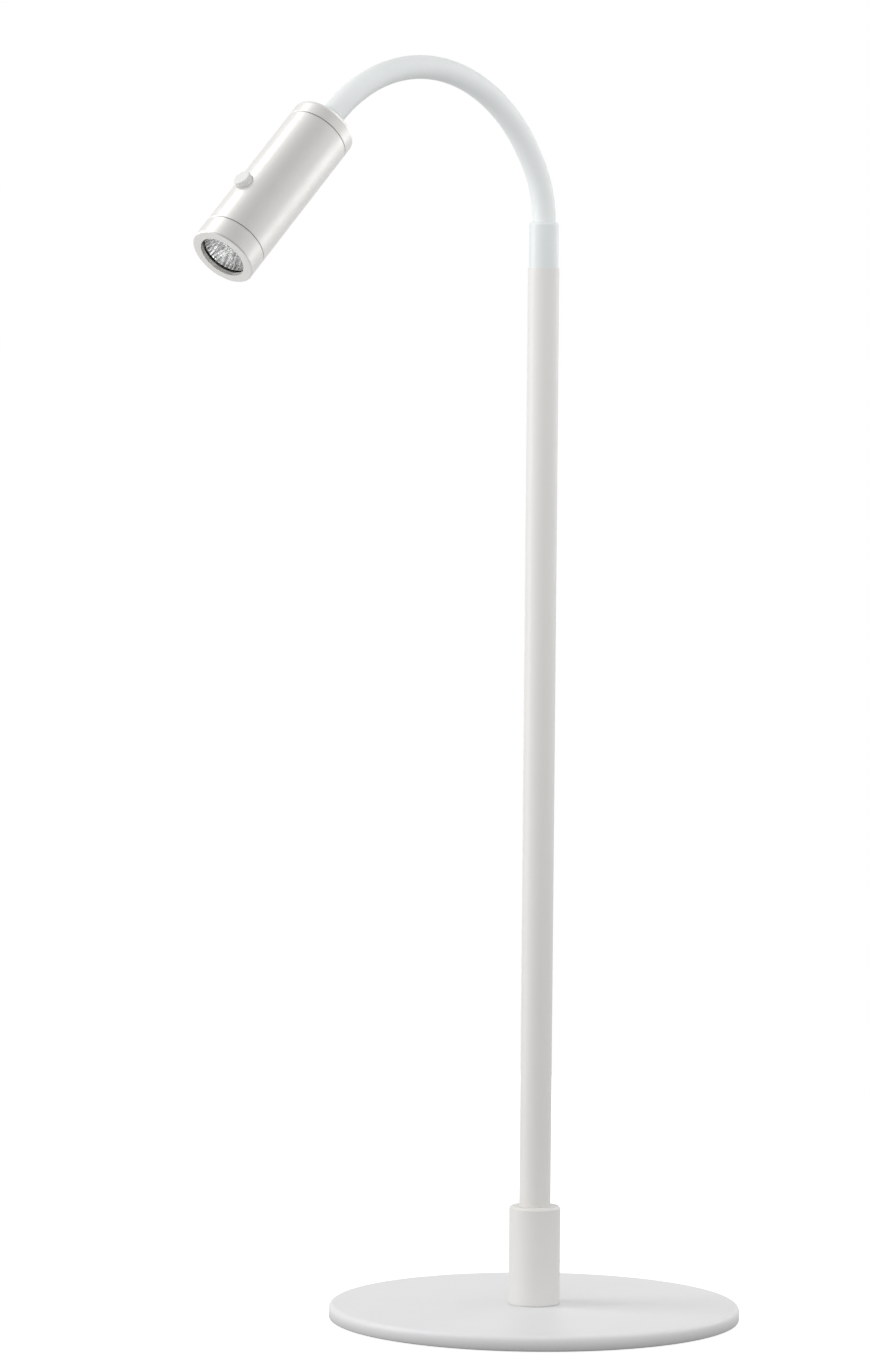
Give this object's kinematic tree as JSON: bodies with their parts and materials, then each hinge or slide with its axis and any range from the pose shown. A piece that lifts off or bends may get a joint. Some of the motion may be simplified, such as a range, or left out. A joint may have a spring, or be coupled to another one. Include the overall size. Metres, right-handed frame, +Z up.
{
  "type": "gooseneck desk lamp",
  "caption": "White desk lamp: weighted round base, straight pole, sleeved gooseneck and a slim round LED spot head with a push button.",
  "frame": {"origin": "middle of the foot pad's underside, on the surface that the lamp stands on", "axes": "+Z up along the pole; the neck arches in the XZ plane towards -X; +X is the back, where the power inlet is"},
  "size_m": [0.3271, 0.2, 0.6122],
  "materials": {
    "white_paint": "satin",
    "head_paint": "satin",
    "foot_rubber": "matte",
    "zinc_steel": "satin",
    "inlet_plastic": "matte",
    "contact_metal": "satin",
    "turned_brass": "satin",
    "ferrule_plastic": "satin",
    "neck_silicone": "matte",
    "coil_steel": "satin",
    "cable_pvc": "matte",
    "lead_insulation": "satin",
    "board_green": "satin",
    "board_white": "satin",
    "led_phosphor": "satin",
    "bare_aluminium": "satin",
    "reflector_chrome": "gloss",
    "lens_clear": "gloss",
    "gasket_rubber": "matte",
    "switch_plastic": "matte",
    "button_plastic": "satin"
  },
  "bodies": {
    "root": {"base_pad": "foot_rubber", "base_plate": "white_paint", "base_washer": "zinc_steel", "base_bolt": "zinc_steel", "post_collar": "white_paint", "collar_set_screw": "zinc_steel", "inlet_housing": "inlet_plastic", "inlet_pin": "contact_metal", "inlet_tags": "contact_metal", "pole_tube": "white_paint", "pole_bush": "turned_brass", "pole_cable": "cable_pvc", "lower_ferrule": "ferrule_plastic", "neck_sleeve_0": "neck_silicone", "neck_coil_0": "coil_steel"},
    "neck_link_1": {"neck_sleeve_1": "neck_silicone", "neck_coil_1": "coil_steel", "neck_cable_1": "cable_pvc"},
    "neck_link_2": {"neck_sleeve_2": "neck_silicone", "neck_coil_2": "coil_steel", "neck_cable_2": "cable_pvc"},
    "neck_link_3": {"neck_sleeve_3": "neck_silicone", "neck_coil_3": "coil_steel", "neck_cable_3": "cable_pvc"},
    "neck_link_4": {"neck_sleeve_4": "neck_silicone", "neck_coil_4": "coil_steel", "neck_cable_4": "cable_pvc"},
    "neck_link_5": {"neck_sleeve_5": "neck_silicone", "neck_coil_5": "coil_steel", "neck_cable_5": "cable_pvc"},
    "neck_link_6": {"neck_sleeve_6": "neck_silicone", "neck_coil_6": "coil_steel", "neck_cable_6": "cable_pvc"},
    "neck_link_7": {"neck_sleeve_7": "neck_silicone", "neck_coil_7": "coil_steel", "neck_cable_7": "cable_pvc"},
    "neck_link_8": {"neck_sleeve_8": "neck_silicone", "neck_coil_8": "coil_steel", "neck_cable_8": "cable_pvc"},
    "head": {"neck_sleeve_9": "neck_silicone", "neck_coil_9": "coil_steel", "upper_ferrule": "ferrule_plastic", "rear_cap": "head_paint", "neck_locknut": "turned_brass", "head_tube": "head_paint", "head_cable": "cable_pvc", "driver_board": "board_green", "switch_body": "switch_plastic", "switch_spring": "coil_steel", "heat_sink": "bare_aluminium", "led_board": "board_white", "led_screws": "zinc_steel", "led_leads": "lead_insulation", "led_chip": "led_phosphor", "reflector": "reflector_chrome", "front_lens": "lens_clear", "lens_gasket": "gasket_rubber", "front_bezel": "head_paint"},
    "button": {"switch_button": "button_plastic"}
  },
  "joints": [
    {"name": "neck_swing_root", "type": "hinge", "parent": "root", "child": "neck_link_1", "pos_m": [-0.00026, 0, 0.53924], "axis": [0.9949, 0, 0.1007], "range_deg": [-15, 15], "deforming": ["neck_sleeve_0", "neck_coil_0", "neck_sleeve_1", "neck_coil_1", "pole_cable", "neck_cable_1"]},
    {"name": "neck_bend_root", "type": "hinge", "parent": "neck_link_1", "child": "neck_link_2", "pos_m": [-0.00527, 0, 0.55682], "axis": [0, -1, 0], "range_deg": [-22, 9], "deforming": ["neck_sleeve_1", "neck_coil_1", "neck_sleeve_2", "neck_coil_2", "neck_cable_1", "neck_cable_2"]},
    {"name": "neck_bend_low", "type": "hinge", "parent": "neck_link_2", "child": "neck_link_3", "pos_m": [-0.02008, 0, 0.57838], "axis": [0, -1, 0], "range_deg": [-22, 9], "deforming": ["neck_sleeve_2", "neck_coil_2", "neck_sleeve_3", "neck_coil_3", "neck_cable_2", "neck_cable_3"]},
    {"name": "neck_swing_middle", "type": "hinge", "parent": "neck_link_3", "child": "neck_link_4", "pos_m": [-0.03391, 0, 0.59043], "axis": [0.5754, 0, 0.8179], "range_deg": [-15, 15], "deforming": ["neck_sleeve_3", "neck_coil_3", "neck_sleeve_4", "neck_coil_4", "neck_cable_3", "neck_cable_4"]},
    {"name": "neck_bend_middle", "type": "hinge", "parent": "neck_link_4", "child": "neck_link_5", "pos_m": [-0.04992, 0, 0.59937], "axis": [0, -1, 0], "range_deg": [-22, 9], "deforming": ["neck_sleeve_4", "neck_coil_4", "neck_sleeve_5", "neck_coil_5", "neck_cable_4", "neck_cable_5"]},
    {"name": "neck_bend_upper", "type": "hinge", "parent": "neck_link_5", "child": "neck_link_6", "pos_m": [-0.07521, 0, 0.60603], "axis": [0, -1, 0], "range_deg": [-22, 9], "deforming": ["neck_sleeve_5", "neck_coil_5", "neck_sleeve_6", "neck_coil_6", "neck_cable_5", "neck_cable_6"]},
    {"name": "neck_swing_top", "type": "hinge", "parent": "neck_link_6", "child": "neck_link_7", "pos_m": [-0.09356, 0, 0.60613], "axis": [-0.0982, 0, 0.9952], "range_deg": [-15, 15], "deforming": ["neck_sleeve_6", "neck_coil_6", "neck_sleeve_7", "neck_coil_7", "neck_cable_6", "neck_cable_7"]},
    {"name": "neck_bend_top", "type": "hinge", "parent": "neck_link_7", "child": "neck_link_8", "pos_m": [-0.11152, 0, 0.60245], "axis": [0, -1, 0], "range_deg": [-22, 9], "deforming": ["neck_sleeve_7", "neck_coil_7", "neck_sleeve_8", "neck_coil_8", "neck_cable_7", "neck_cable_8"]},
    {"name": "neck_bend_head", "type": "hinge", "parent": "neck_link_8", "child": "head", "pos_m": [-0.13503, 0, 0.59098], "axis": [0, -1, 0], "range_deg": [-22, 9], "deforming": ["neck_sleeve_8", "neck_coil_8", "neck_sleeve_9", "neck_coil_9", "neck_cable_8", "head_cable"]},
    {"name": "button_press", "type": "slide", "parent": "head", "child": "button", "axis": [0.682, 0, -0.7314], "range_m": [0, 0.0016], "stiffness_N_per_m": 600, "springref_m": -0.0012, "deforming": ["switch_spring"]}
  ],
  "couplings": [
    {"joint": "neck_swing_middle", "follows": "neck_swing_root", "ratio": 1},
    {"joint": "neck_swing_top", "follows": "neck_swing_root", "ratio": 1},
    {"joint": "neck_bend_low", "follows": "neck_bend_root", "ratio": 1},
    {"joint": "neck_bend_middle", "follows": "neck_bend_root", "ratio": 1},
    {"joint": "neck_bend_top", "follows": "neck_bend_upper", "ratio": 1},
    {"joint": "neck_bend_head", "follows": "neck_bend_upper", "ratio": 1}
  ]
}
